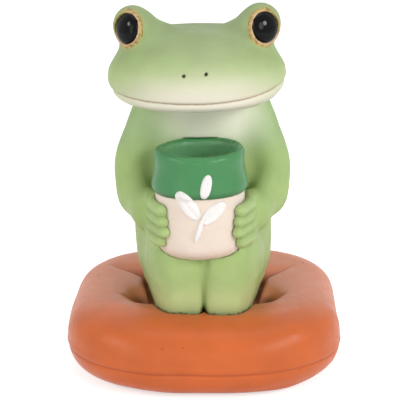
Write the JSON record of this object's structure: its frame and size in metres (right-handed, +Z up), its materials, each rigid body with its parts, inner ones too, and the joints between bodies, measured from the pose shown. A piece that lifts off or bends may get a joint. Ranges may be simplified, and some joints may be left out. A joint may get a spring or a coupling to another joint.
{
  "type": "frog figurine",
  "caption": "Painted cast figurine of a tree frog kneeling on a puffed floor cushion and holding a hollow tea cup in both hands; a small shelf or desk ornament.",
  "frame": {"origin": "middle of the cushion's flat underside", "axes": "+Z up from the cushion to the frog's head; the frog faces -Y; +X is the frog's left"},
  "size_m": [0.045, 0.048, 0.0604],
  "materials": {
    "skin_paint": "satin hand-painted resin, green with pale muzzle",
    "cushion_paint": "satin hand-painted resin, orange",
    "cup_paint": "satin hand-painted resin, green above, beige below",
    "relief_paint": "raised white paint",
    "eye_gloss": "glossy black"
  },
  "bodies": {
    "root": {"cushion": "cushion_paint", "torso": "skin_paint", "head": "skin_paint", "left_leg": "skin_paint", "right_leg": "skin_paint", "left_arm": "skin_paint", "right_arm": "skin_paint", "cup": "cup_paint", "cup_relief": "relief_paint", "left_eye": "eye_gloss", "right_eye": "eye_gloss"}
  },
  "joints": []
}
